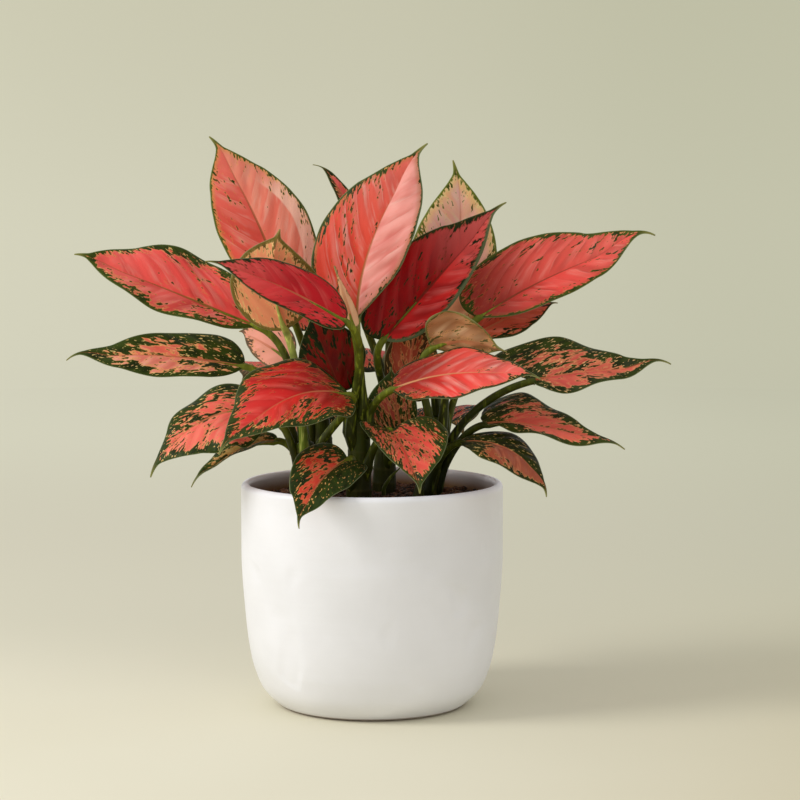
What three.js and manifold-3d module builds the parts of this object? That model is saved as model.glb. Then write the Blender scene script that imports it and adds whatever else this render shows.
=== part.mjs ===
// Potted Chinese evergreen (Aglaonema): a round ceramic pot of soil, with a clump of short canes
// that carry broad, pointed leaves on long stalks. Millimetres, +Z up, origin at the centre of the
// pot's flat underside, -Y is the front.
import * as THREE from "three";
import Module from "manifold-3d";

const wasm = await Module();
wasm.setup();

// ---- driving dimensions ----
const POT_RADIUS = 90;
const POT_HEIGHT = 154;
const POT_WALL = 6;
const POT_FLOOR = 7;
const BASE_RADIUS = 61;
const SOIL_TOP = 144;
const SOIL_DIP = 2;
const GAP = 0.3;
const SMOOTHED = 0.05;
const BLADE_THICK = 1.2;
const MARGIN_THICK = 0.7;
const STALK_FOOT_RADIUS = 3.2;
const STALK_TOP_RADIUS = 2.2;
const RIB_END_RADIUS = 0.7;
const RIB_REACH = 0.3;
const CURL_FROM = 0.7;
const POT_SIDES = 48;
const CANE_SIDES = 12;
const STALK_SIDES = 5;
const STALK_STEPS = 6;
const BLADE_STEPS = 11;
const ACROSS = [-1, -0.5, 0, 0.5, 1];

// ---- canes: foot and top of the axis, and the radius at each end ----
const CANES = {
  cane_centre: { foot: [-9, -12], top: [-8, -14, 214], radius: [9, 6.5] },
  cane_right: { foot: [36, -10], top: [47, -14, 186], radius: [8.5, 6] },
  cane_left: { foot: [-40, -14], top: [-46, -16, 184], radius: [8.5, 6] },
  cane_rear: { foot: [8, 24], top: [10, 27, 212], radius: [8.5, 6] },
  cane_rear_left: { foot: [-32, 26], top: [-36, 30, 196], radius: [8, 6] },
  cane_rear_right: { foot: [40, 26], top: [45, 30, 196], radius: [8, 6] },
};

// ---- young shoot beside the centre cane: points of its axis and the radius at each ----
const SHOOT = [[8, -1, 144.3], [8, -1, 148], [12, -2.5, 156], [19, -5, 163.5]];
const SHOOT_RADII = [2, 1.8, 1.4, 0.5];

// ---- leaf colours: linear red, green and blue ----
const TINTS = {
  coral: [0.62, 0.13, 0.11],
  crimson: [0.35, 0.02, 0.03],
  pale: [0.7, 0.42, 0.3],
  green: [0.2, 0.12, 0.06],
  cream: [0.62, 0.45, 0.26],
};

// ---- leaves ----
// on, at: the cane and the height on it where the stalk starts
// turn: how far that start is turned round the cane from the direction of the blade, in degrees
// tint: its entry in TINTS
// base, mid, tip: the midrib's start, half-way point and end
// face: azimuth and elevation of the upper side, 0 is -Y and 90 is +X
// half: width of the left and right half blade, seen from above with the tip away
// fold, bend: how far each half rises from the midrib, and how far it arches down again, in degrees
// belly: where along the midrib each half is widest; lobe: how far its base reaches back
// wave: height, count and phase of the ripples along the margin
// curl: how the midrib bows out between CURL_FROM and its tip
const LEAVES = {
  leaf_front_rim: {
    on: "cane_centre", at: 156, turn: -30, tint: "green",
    base: [-15.5, -50, 174.5], mid: [-34, -88, 163], tip: [-45.5, -116, 137.8], face: [5, 18],
    half: [19, 23], fold: [34, 10], bend: [24, 24], belly: [0.34, 0.34], lobe: [9, 3],
    wave: [1.5, 2, 0], curl: [-10, 0, 6],
  },
  leaf_front_heart: {
    on: "cane_centre", at: 166, turn: 0, tint: "coral",
    base: [13, -34, 192], mid: [24, -64, 179], tip: [32, -88, 157], face: [4, 38],
    half: [32, 23], fold: [20, 36], bend: [20, 20], belly: [0.34, 0.26], lobe: [4, 11],
    wave: [1, 2, 0.2], curl: [4, 0, 0],
  },
  leaf_front_left: {
    on: "cane_left", at: 172, turn: 0, tint: "coral",
    base: [-15, -40, 217], mid: [-56, -72, 216], tip: [-98, -96, 183], face: [-10, 46],
    half: [31, 38], fold: [16, 14], bend: [26, 26], belly: [0.36, 0.4], lobe: [2, 2],
    wave: [2, 2.6, 0.4], curl: [-12, 0, 10],
  },
  leaf_front_right: {
    on: "cane_centre", at: 198, turn: 0, tint: "coral",
    base: [14, -34, 220], mid: [60, -58, 233], tip: [111, -84, 231], face: [10, 48],
    half: [26, 23], fold: [14, 14], bend: [26, 34], belly: [0.38, 0.46], lobe: [4, 0],
    wave: [1.5, 2.5, 0.1], curl: [0, 0, 18],
  },
  leaf_magenta_left: {
    on: "cane_centre", at: 188, turn: -35, tint: "crimson",
    base: [-17, -52, 267], mid: [-58, -70, 290], tip: [-107, -84, 308], face: [-10, 40],
    half: [17, 22], fold: [18, 18], bend: [24, 30], belly: [0.4, 0.4], lobe: [4, 4],
    wave: [1.2, 2, 0.5], curl: [0, 0, 10],
  },
  leaf_low_right: {
    on: "cane_right", at: 150, turn: 20, tint: "green",
    base: [76, -30, 196], mid: [113, -50, 197], tip: [167, -72, 184], face: [10, 55],
    half: [31, 14], fold: [16, 24], bend: [24, 34], belly: [0.2, 0.62], lobe: [6, 0],
    wave: [2.2, 2.2, 0.7], curl: [6, 0, 14],
  },
  leaf_lowest_right: {
    on: "cane_right", at: 149, turn: -35, tint: "green",
    base: [60, -34, 184.5], mid: [94, -59, 181], tip: [115, -84, 154], face: [30, 55],
    half: [20, 24], fold: [10, 10], bend: [20, 20], belly: [0.26, 0.5], lobe: [2, 2],
    wave: [1, 2, 0.6], curl: [10, 0, 6],
  },
  leaf_mid_right: {
    on: "cane_right", at: 171, turn: 45, tint: "green",
    base: [109, -24, 225], mid: [148, -32, 232], tip: [200, -44, 238], face: [10, 50],
    half: [34, 17], fold: [20, 18], bend: [24, 30], belly: [0.17, 0.4], lobe: [14, 0],
    wave: [2.4, 2.0, 0.75], curl: [0, 0, 24],
  },
  leaf_high_right: {
    on: "cane_right", at: 186, turn: 0, tint: "coral",
    base: [73, 4, 266], mid: [124, 0, 295], tip: [192, -12, 323], face: [20, 42],
    half: [37, 21], fold: [18, 22], bend: [22, 30], belly: [0.36, 0.52], lobe: [8, 0],
    wave: [1.0, 2, 0.1], curl: [0, 0, 40],
  },
  leaf_under_right: {
    on: "cane_rear_right", at: 183, turn: 30, tint: "crimson",
    base: [60, 6, 247], mid: [94, 16, 265], tip: [128, 14, 276], face: [20, 50],
    half: [14, 16], fold: [10, 10], bend: [20, 20], belly: [0.38, 0.58], lobe: [4, 4],
    wave: [1, 2, 0.4], curl: [0, 0, 8],
  },
  leaf_cream_folded: {
    on: "cane_right", at: 180, turn: 0, tint: "cream",
    base: [41, -22, 247], mid: [64, -25, 252], tip: [91, -30, 245], face: [180, 10],
    half: [10, 23], fold: [20, 14], bend: [30, 40], belly: [0.5, 0.26], lobe: [0, 0],
    wave: [1.5, 2, 0.2], curl: [0, 0, 0],
  },
  leaf_upper_centre: {
    on: "cane_centre", at: 214, turn: 0, tint: "coral",
    base: [-10, -16, 265], mid: [2, -15, 323], tip: [38, -4, 385], face: [-8, 22],
    half: [38, 27], fold: [12, 20], bend: [20, 30], belly: [0.42, 0.54], lobe: [4, 0],
    wave: [1.5, 2, 0.7], curl: [-14, 0, 6],
  },
  leaf_upper_dark_right: {
    on: "cane_rear", at: 204, turn: 0, tint: "crimson",
    base: [8, -8, 252], mid: [47, -2, 296], tip: [92, 8, 345], face: [20, 30],
    half: [33, 20], fold: [18, 14], bend: [20, 20], belly: [0.38, 0.38], lobe: [9, 0],
    wave: [1.2, 2, 0], curl: [-8, 0, 14],
  },
  leaf_upper_rear_right: {
    on: "cane_rear_right", at: 196, turn: 0, tint: "pale",
    base: [41, 24, 253], mid: [60, 30, 313], tip: [56, 34, 374], face: [10, 20],
    half: [34, 29], fold: [15, 15], bend: [20, 20], belly: [0.45, 0.38], lobe: [6, 6],
    wave: [1.2, 2, 0.3], curl: [2, 0, 0],
  },
  leaf_upper_left: {
    on: "cane_rear_left", at: 196, turn: 0, tint: "coral",
    base: [-58, 5, 278], mid: [-82, 16, 338], tip: [-112, 20, 390], face: [0, 30],
    half: [29, 35], fold: [10, 14], bend: [14, 30], belly: [0.44, 0.36], lobe: [3, 3],
    wave: [1.2, 2, 0.1], curl: [10, 0, 4],
  },
  leaf_upper_rear: {
    on: "cane_rear", at: 212, turn: 0, tint: "crimson",
    base: [-10, 42, 284], mid: [-17, 48, 341], tip: [-42, 52, 371], face: [0, 30],
    half: [6, 7], fold: [14, 14], bend: [20, 20], belly: [0.4, 0.4], lobe: [4, 4],
    wave: [1, 2, 0], curl: [8, 0, 8],
  },
  leaf_high_left: {
    on: "cane_left", at: 184, turn: 0, tint: "coral",
    base: [-77, -3, 260], mid: [-140, -6, 286], tip: [-202, -8, 310], face: [-10, 36],
    half: [17, 33], fold: [12, 20], bend: [20, 30], belly: [0.5, 0.44], lobe: [0, 0],
    wave: [3.2, 2.5, 0.5], curl: [0, 0, 14],
  },
  leaf_mid_left: {
    on: "cane_left", at: 168, turn: -9, tint: "green",
    base: [-88, 11.5, 232], mid: [-151, 4, 240], tip: [-208, -10, 238], face: [-10, 42],
    half: [18, 23], fold: [14, 14], bend: [24, 24], belly: [0.42, 0.28], lobe: [0, 0],
    wave: [1.6, 2.2, 0.65], curl: [0, 0, 26],
  },
  leaf_low_left: {
    on: "cane_left", at: 158, turn: 9, tint: "green",
    base: [-71, -18, 202], mid: [-114, -30, 199], tip: [-148, -44, 162], face: [-30, 40],
    half: [38, 25], fold: [14, 14], bend: [26, 26], belly: [0.42, 0.32], lobe: [4, 4],
    wave: [2.4, 2.6, 0.2], curl: [-8, 0, 10],
  },
  leaf_curled_left: {
    on: "cane_left", at: 150, turn: -45, tint: "green",
    base: [-65, -2, 182], mid: [-93, -8, 175], tip: [-123, -18, 152], face: [-30, 60],
    half: [12, 12], fold: [30, 30], bend: [10, 10], belly: [0.4, 0.4], lobe: [2, 2],
    wave: [1, 2, 0], curl: [-6, 0, 14],
  },
  leaf_cream_back: {
    on: "cane_left", at: 170, turn: 38, tint: "pale",
    base: [-58, -28, 260], mid: [-65, -42, 293], tip: [-60, -56, 328], face: [180, 20],
    half: [31, 31], fold: [20, 20], bend: [10, 10], belly: [0.42, 0.42], lobe: [2, 2],
    wave: [1, 2, 0.4], curl: [0, 0, 0],
  },
  leaf_pink_under: {
    on: "cane_rear_left", at: 165, turn: 25, tint: "coral",
    base: [-58, 36, 235], mid: [-79, 58, 246], tip: [-96, 80, 252], face: [180, 10],
    half: [22, 14], fold: [10, 10], bend: [20, 20], belly: [0.38, 0.38], lobe: [4, 4],
    wave: [1, 2, 0.1], curl: [0, 0, 6],
  },
  leaf_dark_inner: {
    on: "cane_centre", at: 190, turn: 0, tint: "crimson",
    base: [-22, -12, 217], mid: [-31, -14, 242], tip: [-43, -8, 271], face: [10, 30],
    half: [23.3, 27], fold: [16, 16], bend: [20, 20], belly: [0.38, 0.46], lobe: [6, 6],
    wave: [1, 2, 0.2], curl: [0, 0, 0],
  },
  leaf_red_under: {
    on: "cane_rear_right", at: 164, turn: -60, tint: "crimson",
    base: [26, 2, 210], mid: [27, 8, 242], tip: [34, 14, 268], face: [180, 10],
    half: [20, 18], fold: [10, 10], bend: [20, 20], belly: [0.38, 0.38], lobe: [4, 4],
    wave: [1, 2, 0.5], curl: [0, 0, 0],
  },
  leaf_new_spear: {
    on: "cane_centre", at: 208, turn: 30, tint: "cream",
    base: [-12, -30, 261], mid: [-17, -29, 279], tip: [-25, -28, 303], face: [180, 10],
    half: [8, 8], fold: [24, 24], bend: [-60, -60], belly: [0.25, 0.25], lobe: [0, 0],
    wave: [0, 2, 0], curl: [0, 0, 0],
  },
  leaf_inner_low: {
    on: "cane_rear", at: 170, turn: 0, tint: "green",
    base: [20, -2, 189], mid: [16, -4, 211], tip: [13, -2, 233], face: [0, 20],
    half: [22, 14], fold: [16, 16], bend: [20, 20], belly: [0.38, 0.38], lobe: [4, 4],
    wave: [1, 2, 0.3], curl: [0, 0, 0],
  },
  leaf_back_high: {
    on: "cane_rear", at: 206, turn: 0, tint: "coral",
    base: [12, 48, 266], mid: [14, 84, 302], tip: [18, 122, 290], face: [180, 75],
    half: [30, 32], fold: [16, 16], bend: [22, 26], belly: [0.38, 0.38], lobe: [6, 6],
    wave: [1.5, 2, 0], curl: [0, 6, 16],
  },
  leaf_back_high_left: {
    on: "cane_rear_left", at: 192, turn: -15, tint: "coral",
    base: [-42, 46, 256], mid: [-64, 80, 286], tip: [-92, 112, 280], face: [215, 75],
    half: [30, 28], fold: [16, 16], bend: [26, 22], belly: [0.38, 0.4], lobe: [6, 6],
    wave: [1.5, 3, 0.2], curl: [-6, 6, 16],
  },
  leaf_back_high_right: {
    on: "cane_rear_right", at: 188, turn: 25, tint: "coral",
    base: [60, 46, 254], mid: [86, 80, 282], tip: [114, 114, 274], face: [145, 75],
    half: [29, 31], fold: [16, 16], bend: [22, 28], belly: [0.4, 0.38], lobe: [6, 6],
    wave: [1.5, 3, 0.6], curl: [6, 6, 16],
  },
  leaf_back_mid: {
    on: "cane_rear", at: 190, turn: 0, tint: "coral",
    base: [6, 58, 226], mid: [10, 98, 236], tip: [16, 140, 214], face: [180, 72],
    half: [30, 28], fold: [16, 16], bend: [26, 26], belly: [0.38, 0.36], lobe: [6, 6],
    wave: [1.5, 2, 0.5], curl: [0, 8, 14],
  },
  leaf_back_mid_left: {
    on: "cane_rear_left", at: 170, turn: 12, tint: "green",
    base: [-56, 66, 217], mid: [-76, 96, 228], tip: [-98, 128, 208], face: [215, 70],
    half: [28, 30], fold: [14, 16], bend: [24, 26], belly: [0.36, 0.38], lobe: [6, 6],
    wave: [1.5, 2, 0.1], curl: [-6, 8, 14],
  },
  leaf_back_mid_right: {
    on: "cane_rear_right", at: 169, turn: -30, tint: "coral",
    base: [66, 54, 222], mid: [92, 88, 232], tip: [118, 122, 210], face: [145, 70],
    half: [30, 27], fold: [16, 14], bend: [26, 24], belly: [0.38, 0.36], lobe: [6, 6],
    wave: [1.5, 3, 0.8], curl: [6, 8, 14],
  },
  leaf_back_low_left: {
    on: "cane_rear_left", at: 160, turn: -35, tint: "green",
    base: [-40, 66, 190], mid: [-52, 98, 190], tip: [-62, 126, 158], face: [200, 54],
    half: [26, 24], fold: [14, 14], bend: [24, 24], belly: [0.34, 0.36], lobe: [6, 8],
    wave: [1.2, 2, 0.4], curl: [-3, 8, 8],
  },
  leaf_back_low_right: {
    on: "cane_rear_right", at: 162, turn: 0, tint: "green",
    base: [44, 64, 188], mid: [56, 97, 194], tip: [66, 126, 170], face: [165, 54],
    half: [24, 27], fold: [14, 14], bend: [24, 24], belly: [0.36, 0.34], lobe: [8, 6],
    wave: [1.2, 2, 0.9], curl: [3, 8, 8],
  },
};

const vec = (a) => new THREE.Vector3(a[0], a[1], a[2]);

// ---- solids ----
function solid(points, faces) {
  const flat = new Float32Array(points.flatMap((p) => [p.x, p.y, p.z]));
  const mesh = new wasm.Mesh({ numProp: 3, vertProperties: flat, triVerts: new Uint32Array(faces.flat()) });
  return new wasm.Manifold(mesh);
}

function geometry(body) {
  const mesh = body.getMesh();
  const shape = new THREE.BufferGeometry();
  shape.setAttribute("position", new THREE.BufferAttribute(new Float32Array(mesh.vertProperties), 3));
  shape.setIndex(new THREE.BufferAttribute(new Uint32Array(mesh.triVerts), 1));
  shape.computeVertexNormals();
  return shape;
}

// rings of equal length joined into a closed tube with flat ends
function loft(rings) {
  const n = rings[0].length;
  const points = rings.flat();
  const faces = [];
  for (let i = 0; i + 1 < rings.length; i++) {
    for (let j = 0; j < n; j++) {
      const a = i * n + j;
      const b = i * n + ((j + 1) % n);
      faces.push([a, b, b + n], [a, b + n, a + n]);
    }
  }
  const last = (rings.length - 1) * n;
  for (let j = 1; j + 1 < n; j++) {
    faces.push([0, j + 1, j], [last, last + j, last + j + 1]);
  }
  return solid(points, faces);
}

// a tube along a list of centres, with a radius at each
function tube(centres, radii, sides) {
  const rings = [];
  let side = new THREE.Vector3(0, 1, 0);
  centres.forEach((c, i) => {
    const before = centres[Math.max(i - 1, 0)];
    const after = centres[Math.min(i + 1, centres.length - 1)];
    const along = after.clone().sub(before).normalize();
    side = side.clone().addScaledVector(along, -side.dot(along)).normalize();
    const other = along.clone().cross(side);
    const ring = [];
    for (let j = 0; j < sides; j++) {
      const a = (2 * Math.PI * j) / sides;
      const p = c.clone().addScaledVector(side, radii[i] * Math.cos(a));
      ring.push(p.addScaledVector(other, radii[i] * Math.sin(a)));
    }
    rings.push(ring);
  });
  return loft(rings);
}

// ---- blade ----
// share of the full half width at each step from base to tip
const OUTLINE_S = [0, 0.03, 0.08, 0.16, 0.27, 0.4, 0.54, 0.68, 0.8, 0.87, 0.92, 1];
const OUTLINE_W = [0.06, 0.34, 0.6, 0.84, 0.97, 1, 0.9, 0.68, 0.39, 0.19, 0.07, 0.015];

function outline(s, belly) {
  const x = Math.pow(s, Math.log(0.38) / Math.log(belly));
  let i = 0;
  while (i < OUTLINE_S.length - 2 && OUTLINE_S[i + 1] < x) i++;
  const k = (x - OUTLINE_S[i]) / (OUTLINE_S[i + 1] - OUTLINE_S[i]);
  return OUTLINE_W[i] + (OUTLINE_W[i + 1] - OUTLINE_W[i]) * Math.min(Math.max(k, 0), 1);
}

function midrib(leaf, s) {
  const base = vec(leaf.base);
  const tip = vec(leaf.tip);
  const pull = vec(leaf.mid).multiplyScalar(2).addScaledVector(base, -0.5).addScaledVector(tip, -0.5);
  const p = base.multiplyScalar((1 - s) * (1 - s));
  p.addScaledVector(pull, 2 * s * (1 - s)).addScaledVector(tip, s * s);
  const x = Math.max((s - CURL_FROM) / (1 - CURL_FROM), 0);
  return p.addScaledVector(vec(leaf.curl), x * x * (1 - x));
}

function blade(leaf) {
  const azimuth = THREE.MathUtils.degToRad(leaf.face[0]);
  const elevation = THREE.MathUtils.degToRad(leaf.face[1]);
  const faced = new THREE.Vector3(
    Math.sin(azimuth) * Math.cos(elevation),
    -Math.cos(azimuth) * Math.cos(elevation),
    Math.sin(elevation),
  );
  const rings = [];
  for (let i = 0; i <= BLADE_STEPS; i++) {
    const s = i / BLADE_STEPS;
    const along = midrib(leaf, s + 0.001).sub(midrib(leaf, s - 0.001)).normalize();
    const up = faced.clone().addScaledVector(along, -faced.dot(along)).normalize();
    const side = along.clone().cross(up);
    const centre = midrib(leaf, s);
    const top = [];
    const under = [];
    for (const t of ACROSS) {
      const k = t < 0 ? 0 : 1;
      const u = Math.abs(t);
      const sign = Math.sign(t);
      const width = Math.max(outline(s, leaf.belly[k]) * leaf.half[k], 0.6);
      const fold = THREE.MathUtils.degToRad(leaf.fold[k]);
      const bend = THREE.MathUtils.degToRad(leaf.bend[k]);
      const out = (width * (Math.sin(fold) - Math.sin(fold - bend * u))) / bend;
      const rise = (width * (Math.cos(fold - bend * u) - Math.cos(fold))) / bend;
      const share = Math.min(outline(s, leaf.belly[k]), 1);
      const phase = leaf.wave[1] * s + leaf.wave[2] + (k ? 0.35 : 0);
      const ripple = leaf.wave[0] * u * u * Math.sin(2 * Math.PI * phase) * Math.min(share * 1.5, 1);
      const back = (leaf.lobe[k] / 0.3) * share * Math.max(1 - s / 0.3, 0) ** 2 * u;
      const tilt = fold - bend * u;
      const p = centre.clone().addScaledVector(side, sign * out);
      p.addScaledVector(up, rise + ripple).addScaledVector(along, -back);
      const normal = up.clone().multiplyScalar(Math.cos(tilt)).addScaledVector(side, -sign * Math.sin(tilt));
      const half = (BLADE_THICK * (1 - u) + MARGIN_THICK * u) / 2;
      top.push(p.clone().addScaledVector(normal, half));
      under.push(p.addScaledVector(normal, -half));
    }
    rings.push([...top, ...under.reverse()]);
  }
  return loft(rings);
}

// ---- stalk: rises from its cane, curves into the midrib and thins out under the blade ----
function caneAxis(cane, z) {
  const k = (z - SOIL_TOP) / (cane.top[2] - SOIL_TOP);
  return new THREE.Vector3(
    cane.foot[0] + (cane.top[0] - cane.foot[0]) * k,
    cane.foot[1] + (cane.top[1] - cane.foot[1]) * k,
    z,
  );
}

function stalk(leaf) {
  const cane = CANES[leaf.on];
  const foot = caneAxis(cane, leaf.at);
  const joint = midrib(leaf, 0);
  if (leaf.at < cane.top[2]) {
    const out = new THREE.Vector3(joint.x - foot.x, joint.y - foot.y, 0).normalize();
    out.applyAxisAngle(new THREE.Vector3(0, 0, 1), THREE.MathUtils.degToRad(leaf.turn));
    foot.addScaledVector(out, cane.radius[1] + 1.2);
  }
  const ahead = midrib(leaf, 0.02).sub(joint).normalize();
  const reach = joint.distanceTo(foot);
  const rise = new THREE.Vector3(foot.x * 0.85 + joint.x * 0.15, foot.y * 0.85 + joint.y * 0.15, 0);
  rise.z = foot.z + reach * 0.35;
  const enter = joint.clone().addScaledVector(ahead, -0.3 * reach);
  const curve = new THREE.CubicBezierCurve3(foot, rise, enter, joint);
  const centres = curve.getPoints(STALK_STEPS);
  const radii = centres.map((c, i) => {
    return STALK_FOOT_RADIUS + ((STALK_TOP_RADIUS - STALK_FOOT_RADIUS) * i) / STALK_STEPS;
  });
  const azimuth = THREE.MathUtils.degToRad(leaf.face[0]);
  const elevation = THREE.MathUtils.degToRad(leaf.face[1]);
  const faced = new THREE.Vector3(
    Math.sin(azimuth) * Math.cos(elevation),
    -Math.cos(azimuth) * Math.cos(elevation),
    Math.sin(elevation),
  );
  for (const share of [0.4, 1]) {
    const radius = STALK_TOP_RADIUS + (RIB_END_RADIUS - STALK_TOP_RADIUS) * share;
    centres.push(midrib(leaf, RIB_REACH * share).addScaledVector(faced, -radius * 0.6));
    radii.push(radius);
  }
  return tube(centres, radii, STALK_SIDES);
}

// ---- canes ----
function caneSolid(cane, swell) {
  const bottom = SOIL_TOP + GAP - swell;
  const top = cane.top[2] + swell;
  const rings = [0, 0.5, 1].map((k) => {
    const centre = caneAxis(cane, bottom + (top - bottom) * k);
    const radius = cane.radius[0] + (cane.radius[1] - cane.radius[0]) * k + swell;
    return Array.from({ length: CANE_SIDES }, (_, j) => {
      const a = (2 * Math.PI * j) / CANE_SIDES;
      return centre.clone().add(new THREE.Vector3(radius * Math.cos(a), radius * Math.sin(a), 0));
    });
  });
  return loft(rings);
}

// ---- pot and soil ----
const POT_OUTER = [
  [BASE_RADIUS, 0], [70, 6], [76, 13], [80, 22], [83, 32], [86, 50], [88, 71],
  [89.3, 88], [POT_RADIUS, 104], [POT_RADIUS, POT_HEIGHT - 2.5], [POT_RADIUS - 0.8, POT_HEIGHT - 0.8],
];
const POT_INNER = [
  [POT_RADIUS - POT_WALL + 0.8, POT_HEIGHT - 0.8], [POT_RADIUS - POT_WALL, POT_HEIGHT - 2.5],
  [POT_RADIUS - POT_WALL, 100], [82, 71], [79.5, 46], [76, 30], [70, 18], [62, 10], [52, POT_FLOOR],
];

function lathe(profile) {
  const shape = new THREE.LatheGeometry(profile.map(([r, z]) => new THREE.Vector2(r, z)), POT_SIDES);
  shape.rotateX(Math.PI / 2);
  return shape;
}

function potShape() {
  const rimTop = [[POT_RADIUS - 2.5, POT_HEIGHT], [POT_RADIUS - POT_WALL + 2.5, POT_HEIGHT]];
  return lathe([[0, 0], ...POT_OUTER, ...rimTop, ...POT_INNER, [0, POT_FLOOR]]);
}

function soilShape() {
  const wall = POT_INNER.slice(2).reverse().map(([r, z]) => [r - GAP, z + GAP]);
  const top = [[POT_RADIUS - POT_WALL - GAP, SOIL_TOP - SOIL_DIP], [64, SOIL_TOP], [0, SOIL_TOP]];
  return lathe([[0, POT_FLOOR + GAP], ...wall, ...top]);
}

// ---- assembly ----
const plant = new THREE.Group();
const look = (colour, roughness) => {
  return new THREE.MeshStandardMaterial({ color: new THREE.Color(...colour), roughness, metalness: 0 });
};

function place(name, shape, material) {
  const mesh = new THREE.Mesh(shape, material);
  mesh.name = name;
  plant.add(mesh);
}

place("pot", potShape(), look([0.8, 0.79, 0.75], 0.45));
place("soil", soilShape(), look([0.03, 0.018, 0.012], 0.95));

for (const [name, cane] of Object.entries(CANES)) {
  place(name, geometry(caneSolid(cane, 0)), look([0.08, 0.11, 0.03], 0.5));
}

for (const [name, leaf] of Object.entries(LEAVES)) {
  let body = blade(leaf).add(stalk(leaf));
  for (const cane of Object.values(CANES)) {
    body = body.subtract(caneSolid(cane, GAP));
  }
  body = body.decompose().sort((a, b) => b.volume() - a.volume())[0].simplify(SMOOTHED);
  place(name, geometry(body), look(TINTS[leaf.tint], 0.4));
}

const shoot = tube(SHOOT.map(vec), SHOOT_RADII, STALK_SIDES);
place("shoot_small", geometry(shoot), look([0.08, 0.11, 0.03], 0.5));

export default plant;
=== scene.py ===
"""Potted Chinese evergreen: a white ceramic pot of soil with a clump of red and green leaves.

The shapes in the tables of canes and leaves repeat the CAD source. Every piece is worked out round
them in millimetres, and stored in metres.
"""
import math
import random
from collections import namedtuple

import bpy
import numpy as np
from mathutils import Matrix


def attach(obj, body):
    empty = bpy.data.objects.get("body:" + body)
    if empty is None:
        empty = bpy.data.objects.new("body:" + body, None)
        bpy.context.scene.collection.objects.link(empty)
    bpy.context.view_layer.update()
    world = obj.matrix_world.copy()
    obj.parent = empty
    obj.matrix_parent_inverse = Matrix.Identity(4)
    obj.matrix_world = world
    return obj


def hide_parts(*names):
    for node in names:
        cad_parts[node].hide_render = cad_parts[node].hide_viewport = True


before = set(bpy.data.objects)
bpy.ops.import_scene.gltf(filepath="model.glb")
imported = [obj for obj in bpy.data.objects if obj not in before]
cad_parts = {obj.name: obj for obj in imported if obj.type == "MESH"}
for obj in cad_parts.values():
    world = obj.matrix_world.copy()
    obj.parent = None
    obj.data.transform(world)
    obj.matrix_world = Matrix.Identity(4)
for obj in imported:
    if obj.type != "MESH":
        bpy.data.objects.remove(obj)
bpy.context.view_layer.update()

MM = 0.001

# ---- shape table, as in the CAD source ----
POT_RADIUS = 90
POT_HEIGHT = 154
POT_FLOOR = 7
SOIL_TOP = 144

# place of its foot, its top, and its radius at foot and top
Cane = namedtuple("Cane", "foot top radii")
CANES = {
    "cane_centre": Cane((-9, -12), (-8, -14, 214), (9, 6.5)),
    "cane_right": Cane((36, -10), (47, -14, 186), (8.5, 6)),
    "cane_left": Cane((-40, -14), (-46, -16, 184), (8.5, 6)),
    "cane_rear": Cane((8, 24), (10, 27, 212), (8.5, 6)),
    "cane_rear_left": Cane((-32, 26), (-36, 30, 196), (8, 6)),
    "cane_rear_right": Cane((40, 26), (45, 30, 196), (8, 6)),
}

# half a leaf's outline: places along the midrib and widths there, for a belly at STANDARD_BELLY
OUTLINE_S = np.array([0, 0.03, 0.08, 0.16, 0.27, 0.4, 0.54, 0.68, 0.8, 0.87, 0.92, 1])
OUTLINE_W = np.array([0.06, 0.34, 0.6, 0.84, 0.97, 1, 0.9, 0.68, 0.39, 0.19, 0.07, 0.015])
STANDARD_BELLY = 0.38
BOW_FROM = 0.7
RIB_REACH = 0.3

# ---- leaf looks ----
# What a leaf looks like where its own entry says nothing else, in sRGB colours and millimetres
PLAIN = {
    "slot": "leaf_coral",
    "stalk": ((48, 54, 8), (102, 110, 28)),  # the stalk's lower and upper end
    "left": (200, 70, 58),
    "right": None,  # like the left half
    "light": (236, 132, 112),  # side veins, and painted highlight on the pleats and in streaks
    "deep": (160, 36, 30),  # painted shade between the pleat highlights, and near the base
    "green": (46, 56, 14),  # specks and margin
    "halo": (198, 142, 84),  # ground round the specks
    "rib": (180, 104, 70),
    "under": (198, 140, 108),
    "under_mix": 0.6,  # how much of that colour the underside takes
    "spots": (-0.24, -0.24),  # how green each half is: from about -0.3, hardly, to 0.1, mostly
    "heel": 0.0,  # how much greener near the base
    "border": 0.26,  # how much greener near the margin
    "spread": 6.0,  # how far inwards that reaches
    "edge": (0.3, 1.3),  # strength and width of the solid green along the margin
    "hem": 0.9,  # width of the dark line on the margin
    "coarse": 1.0,  # size of the specks
    "ground": 0.6,  # strength of the halo
    "bands": 0.22,  # strength of the painted highlight on the pleats
    "left_light": 1.0,  # share of it on the left half, lowered where that half has painted shade
    "baseward": 0.0,  # strength of painted shade, in the deep colour, near the base
    "tipward": 0.15,  # strength of the light colour near the tip
    "rib_reach": 0.6,  # share of the blade where the midrib's colour has half faded
    "verge": None,  # a tint inside the margin: width, strength, colour
    "strip": None,  # painted light in a pale strip: 0 on the left or 1 on the right, width, share of length, colour
    "shine": None,  # painted reflection on a rolled edge, greyish: 0 on the left or 1 on the right, width, strength
    "glow": 0.15,  # share of light that passes through
    "crumple": 0.0,  # depth of its creases
}
Leaf = namedtuple(
    "Leaf", "cane height turn base middle tip faces widths folds bends bellies lobes ripple bow look"
)
LEAVES = {}


def grow(name, *shape, **look):
    """Adds a leaf. Its shape is its cane, the height on it and the turn round it; the midrib's base,
    middle and tip; the azimuth and elevation that the blade faces; for the left and right half the
    width, the fold along the midrib, the bend, where the belly lies and how far the lobe reaches
    back; the ripple's height, count and phase; and how far the midrib bows before its tip."""
    look = {**PLAIN, **look}
    look["right"] = look["right"] or look["left"]
    LEAVES[name] = Leaf(*shape, look)


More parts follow.
